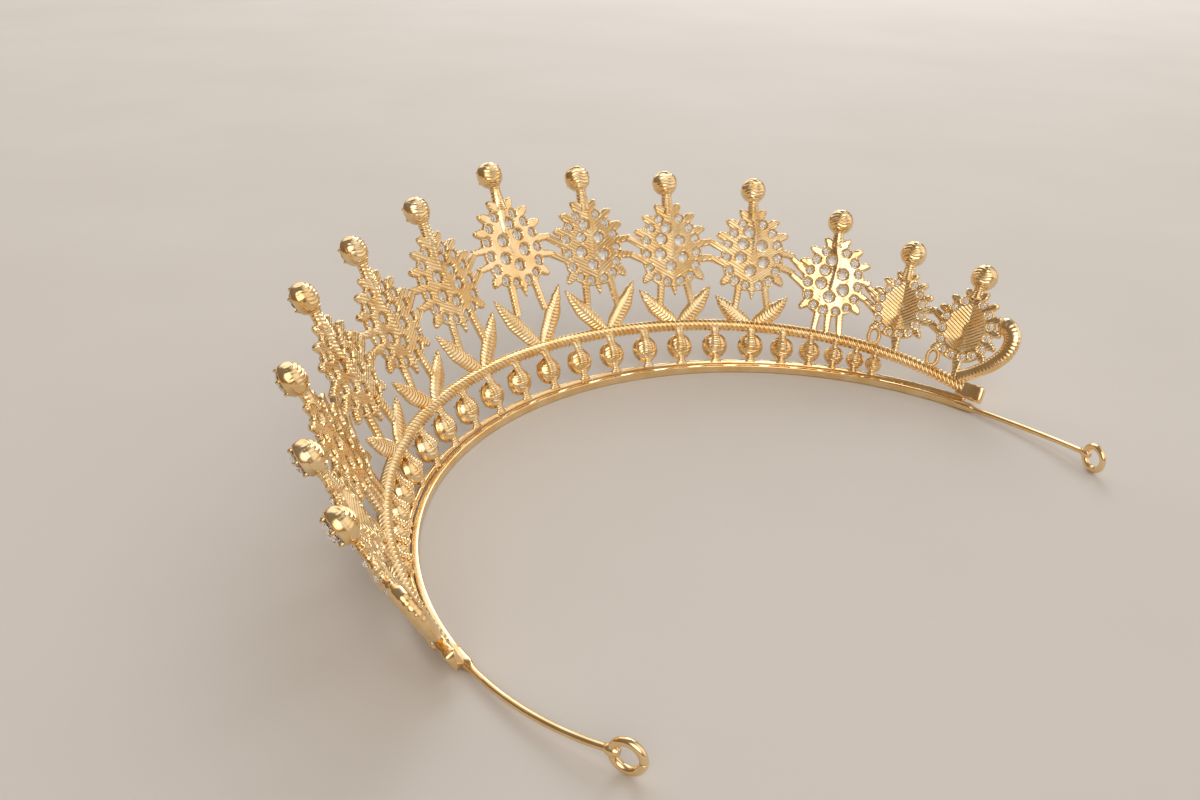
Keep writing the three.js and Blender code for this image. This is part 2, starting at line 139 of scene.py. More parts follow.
# Finials, end blocks and scrolls
FINIAL_RADIUS = 3.1
FINIAL_BACK = 2.4
FINIAL_RIM = 1.2
BLOCK_ARC = 104.6
BLOCK_HEIGHT = 4.1
BLOCK_SIZE = (6.8, 4.0, 2.2)
SCROLL_PATH = (
    (-4.0, 2.6),
    (-0.7, 4.9),
    (2.3, 7.6),
    (4.6, 11.1),
    (4.8, 14.7),
    (3.0, 16.9),
    (0.5, 16.7),
)
SCROLL_HALF_WIDTH = 1.9
SCROLL_HALF_DEPTH = 1.3

# Beads between the stones of a cluster, and the stones
RING_BEAD_RADIUS = 0.34
RING_BEAD_SPREAD = 0.55
INNER_BEAD_RADIUS = 0.3
CRYSTAL_LAP = 0.06
CRYSTAL_PROUD = 0.12
CRYSTAL_CROWN = 0.4
CRYSTAL_PAVILION = 0.5
STONE_GAP = 0.3
FINIAL_STONE_RADIUS = 2.65
FINIAL_STONE_HEIGHT = 1.6
RAIL_STONE_RATIO = 0.84
RAIL_STONE_HEIGHT = 1.1

# Camera, solved from points on the tiara
FOCAL_PIXELS = 1070.6
PICTURE_WIDTH = 1200
SENSOR_WIDTH = 36.0
CAMERA_PLACE = (143.45, 141.36, 112.71)
CAMERA_PITCH = 0.46
CAMERA_HEADING = 3.865
CAMERA_ROLL = 0.023

# Bright openings in the studio: their direction, where they fade out, and their light
OPENINGS = (
    ((-0.66, 0.56, 0.50), (0.62, 1.0), (1.1, 1.06, 1.0)),
    ((0.45, 0.62, 0.64), (0.80, 1.0), (3.0, 2.85, 2.65)),
    ((-0.35, -0.75, 0.56), (0.8, 0.93), (1.3, 1.3, 1.3)),
)

CENTRE_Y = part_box("headband")[0].y / MM + BAND_RADIUS + BAND_OUTSIDE


# Places on the tiara


def unit(vectors):
    return vectors / np.linalg.norm(vectors, axis=-1, keepdims=True)


def band_point(arc, outside, z):
    """Points at arc lengths on the headband, some way outside its radius."""
    arc, outside, z = np.broadcast_arrays(*(np.asarray(v, float) for v in (arc, outside, z)))
    angle = arc / BAND_RADIUS
    reach = BAND_RADIUS + outside
    return np.stack([reach * np.sin(angle), CENTRE_Y - reach * np.cos(angle), z], -1)


def slope_point(arc, height, depth=0.0):
    height, depth = np.asarray(height, float), np.asarray(depth, float)
    outside = SLOPE_OFFSET + height * math.sin(LEAN) + depth * math.cos(LEAN)
    return band_point(arc, outside, height * math.cos(LEAN) - depth * math.sin(LEAN))


def slope_axes(arc):
    """Unit vectors along the tiara, up the slope and outwards from it."""
    sine, cosine = math.sin(arc / BAND_RADIUS), math.cos(arc / BAND_RADIUS)
    along = np.array([cosine, sine, 0.0])
    up = np.array([sine * math.sin(LEAN), -cosine * math.sin(LEAN), math.cos(LEAN)])
    return along, up, np.cross(along, up)


class Seat:
    """A frame on the slope, its x turned round on the -X half so that both halves mirror."""

    def __init__(self, side, arc, height):
        along, up, outwards = slope_axes(side * arc)
        self.axes = np.array([side * along, up, outwards])
        self.origin = slope_point(side * arc, height)

    def put(self, points):
        return self.origin + np.asarray(points, float) @ self.axes


def rope_height(arc):
    share = (np.asarray(arc, float) / 100) ** 2
    return ROPE_HEIGHT - ROPE_FALL[0] * share - ROPE_FALL[1] * share * share


def arc_for(length, height):
    """Arc length on the headband that spans a length along the slope at some height."""
    return length * BAND_RADIUS / (BAND_RADIUS + SLOPE_OFFSET + height * math.sin(LEAN))


def spindle_arc(index):
    even = min(index, EVEN_SPINDLES)
    closer = max(index - EVEN_SPINDLES, 0)
    return SPINDLE_PITCH * (even + PITCH_RATIO * (1 - PITCH_RATIO**closer) / (1 - PITCH_RATIO))


def cup_radius(index):
    return CUP_RADIUS * CUP_RATIO ** max(index - EVEN_SPINDLES, 0)


def cup_height(arc):
    return (LOWER_RAIL_HEIGHT + LOWER_RAIL_RADIUS + float(rope_height(arc)) - ROPE_RADIUS) / 2


# Meshes


class Form:
    """Closed surfaces collected in millimetres. Each point has the phase of the lines cut there."""

    def __init__(self):
        self.points, self.lines, self.faces, self.count = [], [], [], 0

    def add(self, points, faces, lines=0.0):
        points = np.asarray(points, float).reshape(-1, 3)
        self.points.append(points)
        self.lines.append(np.broadcast_to(np.asarray(lines, float).ravel(), len(points)))
        for group in faces:
            self.faces.extend((np.asarray(group) + self.count).tolist())
        self.count += len(points)

    def tube(self, rings, lines=0.0):
        """A closed surface through rings of points, with a flat end on the first and last."""
        rows, sides, _ = rings.shape
        row = np.arange(rows - 1)[:, None] * sides
        column = np.arange(sides)[None, :]
        after = (column + 1) % sides
        quads = np.stack([row + column, row + after, row + sides + after, row + sides + column], -1)
        ends = [rings[0].mean(0), rings[-1].mean(0)]
        turn = np.arange(sides)
        onwards = (turn + 1) % sides
        last = (rows - 1) * sides
        first_end = np.stack([np.full(sides, rows * sides), onwards, turn], -1)
        last_end = np.stack([np.full(sides, rows * sides + 1), last + turn, last + onwards], -1)
        lines = np.broadcast_to(lines, (rows, sides)).ravel()
        lines = np.concatenate([lines, [lines[0], lines[-1]]])
        points = np.vstack([rings.reshape(-1, 3), ends])
        self.add(points, [quads.reshape(-1, 4), first_end, last_end], lines)

    def piece(self, name, slot, material, nodes, smooth=True):
        mesh = bpy.data.meshes.new(name)
        mesh.from_pydata(np.vstack(self.points) * MM, [], self.faces)
        lines = mesh.attributes.new("lines", "FLOAT", "POINT")
        lines.data.foreach_set("value", np.concatenate(self.lines).astype(np.float32))
        work = bmesh.new()
        work.from_mesh(mesh)
        bmesh.ops.recalc_face_normals(work, faces=work.faces)
        work.to_mesh(mesh)
        work.free()
        mesh.polygons.foreach_set("use_smooth", [smooth] * len(mesh.polygons))
        mesh.materials.append(material)
        made = bpy.data.objects.new(name, mesh)
        bpy.context.scene.collection.objects.link(made)
        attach(made, "root")
        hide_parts(*nodes)
        return made


def circle(sides):
    turn = 2 * math.pi * np.arange(sides) / sides
    return np.stack([np.cos(turn), np.sin(turn)], -1)


def squared(sides, power):
    """A circle squared off by a power under one."""
    ring = circle(sides)
    return np.sign(ring) * np.abs(ring) ** power


def sweep(path, normal, section):
    """Rings of a section along a path. A section's points are given across it and outwards."""
    forwards = unit(np.gradient(path, axis=0))
    across = unit(np.cross(forwards, normal))
    outwards = np.cross(across, forwards)
    return path[:, None] + section[..., :1] * across[:, None] + section[..., 1:] * outwards[:, None]


def smooth_path(points, count):
    """Evenly spaced points on a smooth curve through some points."""
    points = np.asarray(points, float)
    padded = np.vstack([2 * points[0] - points[1], points, 2 * points[-1] - points[-2]])
    t = np.linspace(0, 1, 24, endpoint=False)[:, None]
    pieces = []
    for a, b, c, d in zip(padded, padded[1:], padded[2:], padded[3:]):
        bend = 2 * a - 5 * b + 4 * c - d
        twist = 3 * b - a - 3 * c + d
        pieces.append(0.5 * (2 * b + (c - a) * t + bend * t**2 + twist * t**3))
    curve = np.vstack([*pieces, points[-1]])
    length = np.concatenate([[0], np.cumsum(np.linalg.norm(np.diff(curve, axis=0), axis=1))])
    even = np.linspace(0, length[-1], count)
    return np.stack([np.interp(even, length, column) for column in curve.T], -1)


def along_profile(share, stops):
    """A value that passes smoothly through stops, given as pairs of share and value."""
    shares, values = zip(*stops)
    where = np.interp(share, shares, np.arange(len(shares)))
    low = np.minimum(where.astype(int), len(shares) - 2)
    t = where - low
    t = t * t * (3 - 2 * t)
    values = np.array(values)
    return values[low] * (1 - t) + values[low + 1] * t


def lathe(form, seat, profile, sides, shape=None):
    """A round solid about the outward normal of a seat, its profile given as radius and depth.
    Shape changes the points before they are placed."""
    radius, depth = np.asarray(profile, float).T
    ring = circle(sides)
    local = np.empty((len(radius), sides, 3))
    local[..., :2] = radius[:, None, None] * ring
    local[..., 2] = depth[:, None]
    if shape:
        local = shape(local)
    form.tube(seat.put(local))


def bead(form, seat, centre, radius, rise=1.0, sides=8, rows=5):
    turn = np.linspace(0.12, math.pi - 0.12, rows)
    local = np.empty((rows, sides, 3))
    local[..., :2] = (radius * np.sin(turn))[:, None, None] * circle(sides)
    local[..., 2] = -(radius * rise * np.cos(turn))[:, None]
    form.tube(seat.put(local + np.asarray(centre, float)))


def cast_waves(points, seed, size=0.03):
    """The slight unevenness of cast metal, the same on each run."""
    rng = np.random.default_rng(seed)
    total = np.zeros(points.shape[:-1])
    for _ in range(6):
        wave = rng.normal(size=points.shape[-1]) * rng.uniform(0.6, 2.2)
        total += np.sin(points @ wave + rng.uniform(0, 2 * math.pi))
    return size * total / 2.4


# Headband


def headband():
    form = Form()
    wire_end = EYELET_REACH - (EYELET_OUTER + EYELET_INNER) / 2
    arc = np.linspace(-wire_end, wire_end, 560)
    out = np.abs(arc)
    stops = ((0.0, 0.0), (BAND_REACH - 3.5, 0.0), (BAND_REACH - 1.5, 1.0), (BAND_REACH + 1, 1.0))
    stops += ((BAND_REACH + 3, 2.0), (wire_end, 2.0))
    stage = along_profile(out, stops)
    half_width = np.interp(stage, (0, 1, 2), ((BAND_INSIDE + BAND_OUTSIDE) / 2, 0.95, ARM_RADIUS))
    half_height = np.interp(stage, (0, 1, 2), (BAND_HEIGHT / 2, 0.98, ARM_RADIUS))
    power = np.interp(stage, (0, 1, 2), (0.3, 0.8, 1.0))
    share = np.clip((out - BAND_REACH) / (wire_end - BAND_REACH), 0, 1)
    z = np.maximum(half_height, BAND_HEIGHT / 2 + (EYELET_OUTER - BAND_HEIGHT / 2) * share**2)
    ring = circle(24)[None]
    section = np.sign(ring) * np.abs(ring) ** power[:, None, None]
    middle = (BAND_OUTSIDE - BAND_INSIDE) / 2 * np.clip(1 - stage, 0, 1)
    outside = middle[:, None] + half_width[:, None] * section[..., 0]
    form.tube(band_point(arc[:, None], outside, z[:, None] + half_height[:, None] * section[..., 1]))
    for side in (-1, 1):
        eyelet(form, side)
    return form.piece("headband_metal", "polished_gold", polished_gold, ["headband"])


def eyelet(form, side):
    """A ring of round wire, closed on itself beside the arm, with a collar over the joint."""
    angle = side * EYELET_REACH / BAND_RADIUS
    along = np.array([math.cos(angle), math.sin(angle), 0.0])
    out = np.array([math.sin(angle), -math.cos(angle), 0.0])
    centre = band_point(side * EYELET_REACH, 0.0, EYELET_OUTER)
    major = (EYELET_OUTER + EYELET_INNER) / 2
    minor = (EYELET_OUTER - EYELET_INNER) / 2
    turn = np.linspace(0, 2 * math.pi, 64)
    ring = np.cos(turn)[:, None] * along + np.sin(turn)[:, None] * np.array([0.0, 0.0, 1.0])
    thin = 1 - 0.12 * np.exp(-((turn - math.pi) ** 2) / 0.1)
    section = circle(16)[None] * (0.93 * minor * thin)[:, None, None]
    form.tube(sweep(centre + major * ring, np.broadcast_to(out, ring.shape), section))
    joint = centre - side * major * along
    path = joint + np.linspace(-1.2, 1.2, 14)[:, None] * along
    radius = along_profile(np.linspace(0, 1, 14), ((0, 0.6), (0.3, 0.92), (0.7, 0.92), (1, 0.6)))
    form.tube(sweep(path, np.broadcast_to(out, path.shape), circle(14)[None] * radius[:, None, None]))


# Rails


def rails():
    form = Form()
    lower_rail(form)
    rope_rail(form)
    for side in (-1, 1):
        end_block(form, side)
    solder(form)
    return form.piece("gallery_rails", "cast_gold", cast_gold, ["gallery_casting"])


def lower_rail(form):
    arc = np.linspace(-LOWER_RAIL_REACH, LOWER_RAIL_REACH, 500)[:, None]
    section = LOWER_RAIL_RADIUS * squared(16, 0.6)[None]
    height = LOWER_RAIL_HEIGHT + section[..., 1] + 0.04 * np.sin(0.9 * arc) * np.cos(2.3 * arc)
    form.tube(slope_point(arc, height, section[..., 0]))


def rope_rail(form):
    """A rail cast as a rope, its ribs wound round it."""
    arc = np.linspace(-ROPE_REACH, ROPE_REACH, 620)[:, None]
    share = np.arange(10 * ROPE_STRANDS) / (10 * ROPE_STRANDS)
    length = arc * (BAND_RADIUS + SLOPE_OFFSET + ROPE_HEIGHT * math.sin(LEAN)) / BAND_RADIUS
    turn = 2 * math.pi * (share - length / (ROPE_RIB_PITCH * ROPE_STRANDS))
    groove = np.abs(np.sin(math.pi * ROPE_STRANDS * share)) ** 0.8
    radius = ROPE_RADIUS * (0.66 + 0.34 * groove)
    height = rope_height(arc) + radius * np.sin(turn)
    form.tube(slope_point(arc, height, radius * np.cos(turn)), 0.0)


def end_block(form, side):
    seat = Seat(side, BLOCK_ARC, BLOCK_HEIGHT)
    rows = np.linspace(-1, 1, 24)
    half = np.array(BLOCK_SIZE) / 2
    shrink = np.maximum(1 - np.abs(rows) ** 7, 0.0) ** 0.3 * 0.97 + 0.03
    ring = squared(28, 0.4)
    local = np.empty((len(rows), len(ring), 3))
    local[..., 0] = half[0] * rows[:, None]
    local[..., 1] = half[1] * shrink[:, None] * ring[:, 0]
    local[..., 2] = half[2] * shrink[:, None] * ring[:, 1]
    local[..., 1] += cast_waves(local, 3, 0.16)
    local[..., 2] += cast_waves(local, 4, 0.12)
    form.tube(seat.put(local))


def solder(form):
    """Beads of solder between the headband and the lower rail."""
    rng = np.random.default_rng(7)
    for arc in (-88.0, -61.0, -36.0, -9.0, 17.0, 43.0, 66.0, 91.0):
        for _ in range(4):
            seat = Seat(1, arc + rng.uniform(-1.8, 1.8), LOWER_RAIL_HEIGHT - rng.uniform(0.2, 0.9))
            bead(form, seat, (0, 0, -rng.uniform(0.25, 0.5)), rng.uniform(0.28, 0.5), 0.8)


# Spindles


def wavy_ribs(local, rim):
    """Level wavy ribs cut in the back of a dome, fading towards its rim."""
    x, y, z = local[..., 0], local[..., 1], local[..., 2]
    inside = np.clip((rim - z) / 0.5, 0, 1)
    wave = np.sin(2 * math.pi * (y + 0.22 * np.sin(1.9 * x)) / CUP_RIB_PITCH)
    away = unit(local - np.array([0, 0, rim]) + 1e-9)
    return local + (CUP_RIB_DEPTH * inside * (wave - 1))[..., None] * away


def cup_profile(radius, back, rim, steps=36):
    """A domed back from its middle to the rim, and a shallow seat for the stone in front."""
    turn = np.linspace(0.04, math.pi / 2, steps)
    dome = [(radius * math.sin(t), -back * math.cos(t)) for t in turn]
    edge = [(radius, 0.75 * rim), (0.96 * radius, rim), (0.88 * radius, rim)]
    hollow = [(0.78 * radius, 0.4 * rim), (0.4 * radius, -0.3 * back), (0.02, -0.45 * back)]
    return [*dome, *edge, *hollow]


def spindles():
    form = Form()
    for index in range(SPINDLES_A_SIDE + 1):
        for side in (-1, 1) if index else (1,):
            spindle(form, side, index)
    return form.piece("gallery_spindles", "cast_gold", cast_gold, ["gallery_casting"])


def spindle(form, side, index):
    arc = spindle_arc(index)
    radius = cup_radius(index)
    seat = Seat(side, arc, cup_height(arc))

    def shape(local):
        turn = np.arctan2(local[..., 1], local[..., 0])
        edge = np.exp(-(((local[..., 2] - 0.1) / 0.3) ** 2))
        teeth = 1 + 0.05 * edge * np.abs(np.sin(14 * turn))
        local[..., :2] *= teeth[..., None]
        return wavy_ribs(local, 0.1)

    lathe(form, seat, cup_profile(radius, CUP_BACK, CUP_RIM), 44, shape)
    bottom = LOWER_RAIL_HEIGHT - cup_height(arc)
    top = float(rope_height(arc)) - cup_height(arc)
    share = np.linspace(0, 1, 56)
    y = bottom + (top - bottom) * share
    middle = CUP_BACK - 0.1
    depth = -along_profile(share, ((0, 0.35), (0.2, 0.75), (0.5, middle), (0.8, 0.9), (1, 0.55)))
    wide = along_profile(share, ((0, 1.5), (0.13, 0.85), (0.42, 1.35), (0.78, 1.0), (1, 1.5)))
    deep = along_profile(share, ((0, 0.7), (0.12, 0.55), (0.42, 0.7), (0.8, 0.6), (1, 0.7)))
    rib = 1 + 0.07 * np.sin(2 * math.pi * y / 0.62)
    size = np.clip(radius / CUP_RADIUS, 0.75, 1)
    local = np.empty((len(share), 16, 3))
    local[..., 0] = (size * wide * rib)[:, None] * circle(16)[:, 0]
    local[..., 1] = y[:, None]
    local[..., 2] = depth[:, None] + (deep * rib)[:, None] * circle(16)[:, 1]
    form.tube(seat.put(local), local[..., 1] / 0.5)
    claws(form, seat, 0.84 * radius, CUP_RIM, 0.3, 4)


def claws(form, seat, radius, rim, size, count):
    """Small claws that hold a stone over the rim of its cup."""
    for i in range(count):
        turn = 2 * math.pi * (i + 0.5) / count
        middle = (radius * math.cos(turn), radius * math.sin(turn), rim + 0.35)
        bead(form, seat, middle, size, CLAW_RISE)


# Leaves


def leaves():
    form = Form()
    for place in range(len(LEAF_TIP_RISES)):
        for side in (-1, 1) if place else (1,):
            for hand in (-1, 1):
                leaf(form, side, place, hand)
    return form.piece("gallery_leaves", "cast_gold", cast_gold, ["gallery_casting"])


def leaf(form, side, place, hand):
    """A pointed leaf, thick down its middle, with veins cut slantwise on both sides."""
    arc = CLUSTERS[place][0]
    base = float(rope_height(arc))
    tip = np.array([LEAF_TIP_ARC, LEAF_TIP_RISES[place]])
    bend = smooth_path([(0, 0.2), tip * (0.3, 0.24), tip * (0.68, 0.6), tip], 96)
    arcs = side * arc + hand * bend[:, 0]
    path = slope_point(arcs, base + bend[:, 1])
    normal = np.array([slope_axes(a)[2] for a in arcs])
    share = np.linspace(0, 1, len(path))
    length = share * np.linalg.norm(np.diff(path, axis=0), axis=1).sum()
    stops = ((0, 0.5), (0.28, 0.92), (0.55, 1.0), (0.8, 0.62), (0.94, 0.26), (1, 0.05))
    wide = along_profile(share, stops)
    ring = circle(20)
    lines = length[:, None] / VEIN_PITCH - 1.1 * np.abs(ring[:, 0])
    vein = np.sin(2 * math.pi * lines)
    section = np.empty((len(path), len(ring), 2))
    section[..., 0] = LEAF_HALF_WIDTH * wide[:, None] * ring[:, 0]
    ridge = np.abs(ring[:, 1]) ** 1.25 * np.sign(ring[:, 1])
    section[..., 1] = 0.95 * np.sqrt(wide)[:, None] * ridge
    section[..., 1] += 0.08 * vein * ring[:, 1] * wide[:, None]
    form.tube(sweep(path, normal, section), lines)


# Clusters


def pear_points(count):
    """Evenly spaced points on the outline of a pear, clockwise from its point, and their normals."""
    turn = np.linspace(0, 2 * math.pi, 2001)
    across, upwards = np.sin(turn), np.cos(turn)
    above = upwards >= 0
    x = np.sign(across) * np.abs(across) ** np.where(above, PEAR_TAPER, PEAR_FULLNESS[0])
    y = np.sign(upwards) * np.abs(upwards) ** np.where(above, 1, PEAR_FULLNESS[1])
    fine = np.stack([PEAR_HALF_WIDTH * x, np.where(above, PEAR_TOP, PEAR_BOTTOM) * y], -1)
    length = np.concatenate([[0], np.cumsum(np.linalg.norm(np.diff(fine, axis=0), axis=1))])
    even = np.linspace(0, length[-1], count, endpoint=False)
    points = np.stack([np.interp(even, length, column) for column in fine.T], -1)
    chord = unit(np.roll(points, -1, 0) - np.roll(points, 1, 0))
    return points, np.stack([-chord[:, 1], chord[:, 0]], -1)


PEAR, PEAR_NORMALS = pear_points(600)


def at_place(place, inset=0.0):
    """The point at a place on the pear's outline, and the outward normal there."""
    index = int(round(place / PLACES * len(PEAR))) % len(PEAR)
    return PEAR[index] - inset * PEAR_NORMALS[index], PEAR_NORMALS[index]


def polygon_distance(points, corners):
    """Distance of points from a polygon's edge, negative inside it."""
    a = np.asarray(corners, float)
    b = np.roll(a, -1, 0)
    edge = b - a
    offset = points[:, None] - a
    share = np.clip((offset * edge).sum(-1) / (edge * edge).sum(-1), 0, 1)
    far = np.linalg.norm(offset - share[..., None] * edge, axis=-1).min(1)
    x, y = points[:, :1], points[:, 1:]
    level = np.where(edge[:, 1] == 0, 1e-9, edge[:, 1])
    crossing = (a[:, 1] > y) != (b[:, 1] > y)
    left = x < edge[:, 0] * (y - a[:, 1]) / level + a[:, 0]
    return np.where((crossing & left).sum(1) % 2 == 1, -far, far)


def tapered(start, end, start_half, end_half):
    """Corners of a straight bar between two points."""
    start, end = np.asarray(start, float), np.asarray(end, float)
    way = unit(end - start)
    across = np.array([way[1], -way[0]])
    return [
        start - start_half * across,
        start + start_half * across,
        end + end_half * across,
        end - end_half * across,
    ]


# A tooth's corners as shares of its length outwards, and millimetres towards the pear's point
TOOTH_CORNERS = (
    (-0.4, -1.3),
    (0.3, -1.3),
    (0.7, -1.2),
    (0.93, -0.95),
    (1.0, -0.55),
    (0.95, -0.15),
    (0.75, 0.4),
    (0.4, 0.9),
    (-0.4, 1.3),
)
TOOTH_LENGTH = 2.1


def tooth(place, mirrored):
    """A petal on the edge of the pear, its tip leaning away from the pear's point."""
    root, normal = at_place(place)
    to_top = np.array([-normal[1], normal[0]])
    out, top = np.array(TOOTH_CORNERS).T[..., None]
    corners = root + TOOTH_LENGTH * out * normal + top * to_top
    return corners * [-1, 1] if mirrored else corners


def holes_of(place):
    """Centres and radii of the stone holes in a cluster of scale one."""
    rng = np.random.default_rng(place)
    ring = [at_place(i, RING_INSET)[0] for i in range(1, PLACES)]
    holes = [(x, y, RING_HOLE_RADIUS) for x, y in ring]
    if place <= OPENWORK_REACH:
        holes += [(x, y, INNER_HOLE_RADIUS) for x, y in INNER_HOLES]
    else:
        holes = [(x, y, 0.92 * radius) for x, y, radius in holes]
    holes = np.array(holes)
    holes[:, :2] += rng.uniform(-0.09, 0.09, (len(holes), 2))
    holes[:, 2] *= rng.uniform(0.94, 1.06, len(holes))
    return holes


def link_ends(place):
    """Where the two bars to each neighbour of a cluster end, in its own plane."""
    arc, height, scale, _ = CLUSTERS[place]
    along, up, _ = slope_axes(0.0)
    ends = []
    for hand in (-1, 1):
        if place + hand >= len(CLUSTERS):
            continue
        next_arc, next_height = CLUSTERS[abs(place + hand)][:2]
        if place + hand < 0:
            next_arc = -next_arc
        for rise, link in zip(LINK_RISES, LINK_PLACES):
            meeting = slope_point((next_arc - arc) / 2, (height + next_height) / 2 + rise * scale)
            offset = meeting - slope_point(0.0, height)
            ends.append((hand, link, (offset @ along + hand * LINK_LAP, offset @ up)))
    return ends


def leg_ends(place):
    """The feet of a cluster's legs: on its leaves, or on the rope rail past the last of them."""
    arc, height = CLUSTERS[place][:2]
    if place < len(LEAF_TIP_RISES):
        x = LEG_SPREAD
        leg_arc = arc_for(x, height - PEAR_BOTTOM)
        foot = float(rope_height(arc)) + LEAF_TIP_RISES[place] * leg_arc / LEAF_TIP_ARC
        return [(hand, (hand * x, foot - height)) for hand in (-1, 1)]
    spread = (3.3, 0.0, -3.3) if place == OPENWORK_REACH else (0.9,)
    return [(np.sign(x), (x, float(rope_height(arc + arc_for(x, 10))) - height)) for x in spread]


def cluster_shapes(place):
    """Outlines that make up a cluster's plate, in millimetres in its own plane."""
    _, height, scale, finial = CLUSTERS[place]
    shapes = [scale * PEAR[::8]]
    last = place == len(CLUSTERS) - 1
    for at in TOOTH_PLACES:
        shapes += [scale * tooth(at, mirrored) for mirrored in (False, True)]
    if last:
        shapes += [scale * tooth(at, False) for at in LINK_PLACES]
    cusp = at_place(CUSP_PLACE)[0]
    shapes.append(scale * np.array(tapered(cusp + [0, 1.2], cusp - [0, 2.2], 1.2, 0.12)))
    for hand, link, end in link_ends(place):
        start = scale * at_place(link, 1.5)[0] * [hand, 1]
        shapes.append(tapered(start, end, 1.1, 0.8))
    for hand, end in leg_ends(place):
        if place < len(LEAF_TIP_RISES):
            start = scale * at_place(LEG_PLACE, 1.2)[0] * [hand, 1]
        else:
            start = np.array([0.8 * end[0], -(PEAR_BOTTOM - 1.5) * scale])
        shapes.append(tapered(start, end, 1.0, 0.8))
    stalk_top = np.array([0.0, finial - height])
    shapes.append(tapered([0, STALK_FOOT_HEIGHT * scale], stalk_top, *STALK_HALF_WIDTHS))
    return [np.array(shape) for shape in shapes]


def cluster_distance(place):
    """A function that gives the distance of points from a cluster's edge, negative in the metal."""
    scale = CLUSTERS[place][2]
    shapes = cluster_shapes(place)
    holes = holes_of(place) * scale

    def distance(points):
        metal = np.min([polygon_distance(points, shape) for shape in shapes], axis=0)
        for x, y, radius in holes:
            away = np.hypot(points[:, 0] - x, points[:, 1] - y)
            metal = np.minimum(metal, away - radius - COLLAR)
        for x, y, radius in holes:
            away = np.hypot(points[:, 0] - x, points[:, 1] - y)
            metal = np.maximum(metal, radius - away)
        return metal

    return distance


def flat_mesh(distance, low, high, step):
    """An even mesh of triangles over the places where a distance is negative. Points next to
    the edge are moved on to it."""
    row_step = step * math.sqrt(3) / 2
    ys = np.arange(low[1], high[1], row_step)
    xs = np.arange(low[0], high[0], step)
    rows, columns = len(ys), len(xs)
    x = xs[None] + (step / 2) * (np.arange(rows) % 2)[:, None]
    points = np.stack([x, np.broadcast_to(ys[:, None], x.shape)], -1).reshape(-1, 2)
    depth = distance(points)
    near = np.abs(depth) < 0.52 * step
    for _ in range(2):
        moving = points[near]
        nudge = 0.01
        slope = np.stack([
            distance(moving + [nudge, 0]) - distance(moving - [nudge, 0]),
            distance(moving + [0, nudge]) - distance(moving - [0, nudge]),
        ], -1) / (2 * nudge)
        steep = np.maximum((slope * slope).sum(-1, keepdims=True), 0.25)
        points[near] = moving - distance(moving)[:, None] * slope / steep
    keep = (depth < 0) | near
    row, column = np.meshgrid(np.arange(rows - 1), np.arange(columns - 1), indexing="ij")
    here = row * columns + column
    right, above = here + 1, here + columns
    above_right = above + 1
    odd = (row % 2 == 1)[..., None]
    odd_lower = np.stack([here, right, above_right], -1)
    odd_upper = np.stack([here, above_right, above], -1)
    even_lower = np.stack([here, right, above], -1)
    even_upper = np.stack([right, above_right, above], -1)
    lower = np.where(odd, odd_lower, even_lower)
    upper = np.where(odd, odd_upper, even_upper)
    triangles = np.concatenate([lower.reshape(-1, 3), upper.reshape(-1, 3)])
    triangles = triangles[keep[triangles].all(1)]
    middles = points[triangles].mean(1)
    triangles = triangles[distance(middles) < 0.02]
    used, triangles = np.unique(triangles, return_inverse=True)
    return points[used], triangles.reshape(-1, 3)


def border_edges(triangles):
    """Edges that belong to one triangle only, in that triangle's direction."""
    edges = np.concatenate([triangles[:, [0, 1]], triangles[:, [1, 2]], triangles[:, [2, 0]]])
    ordered = np.sort(edges, axis=1)
    _, first, count = np.unique(ordered, axis=0, return_index=True, return_counts=True)
    return edges[first[count == 1]]


def rounding(inside):
    """How far a surface falls at some distance inside its rounded edge."""
    short = np.clip(EDGE_ROUND - inside, 0, EDGE_ROUND)
    return EDGE_ROUND - np.sqrt(EDGE_ROUND**2 - short**2)


def solid_middle(points, scale):
    """Share of the depth of a solid cluster's middle: two slopes that meet in a valley."""
    edge = polygon_distance(points, scale * MIDDLE_SCALE * PEAR[::12])
    return np.clip(-edge / (scale * MIDDLE_SCALE * 0.8 * PEAR_HALF_WIDTH), 0, 1)


def veins(points):
    """Lines that rise outwards from the middle of a cluster, as the veins of a leaf do."""
    return (points[:, 1] - VEIN_RISE * np.abs(points[:, 0])) / VEIN_PITCH


def ridge(points, scale):
    """Height of the wavy ridge that runs down an openwork cluster from its stalk."""
    x, y = points.T
    down = np.clip((9.4 * scale - y) / (12.5 * scale), 0, 1)
    line = x - scale * 0.75 * np.sin(math.pi * down)
    height = 0.5 * (1 - down) ** 0.6
    return np.where(down < 1, height * np.exp(-((line / (1.0 - 0.45 * down)) ** 2)), 0)


def cluster_reliefs(place, points, inside):
    """Depths of a cluster's back and front, and the phase of the lines cut in its back."""
    scale = CLUSTERS[place][2]
    half = PEAR_THICKNESS / 2
    fall = rounding(inside)
    waves = cast_waves(points, place)
    back = half - fall + waves
    front = half - fall - waves
    lines = veins(points)
    cut = np.sin(2 * math.pi * lines)
    if place <= OPENWORK_REACH:
        back += ridge(points, scale)
        back += OPENWORK_VEIN_DEPTH * cut * np.clip(2 * inside, 0, 1)
        return -back, front, lines
    middle = solid_middle(points, scale)
    bowl = HOLLOW_DEPTH * scale * middle
    cut = SOLID_VEIN_DEPTH * cut * np.clip(6 * middle, 0, 1)
    return -(back - bowl + cut), front + 0.9 * bowl, lines


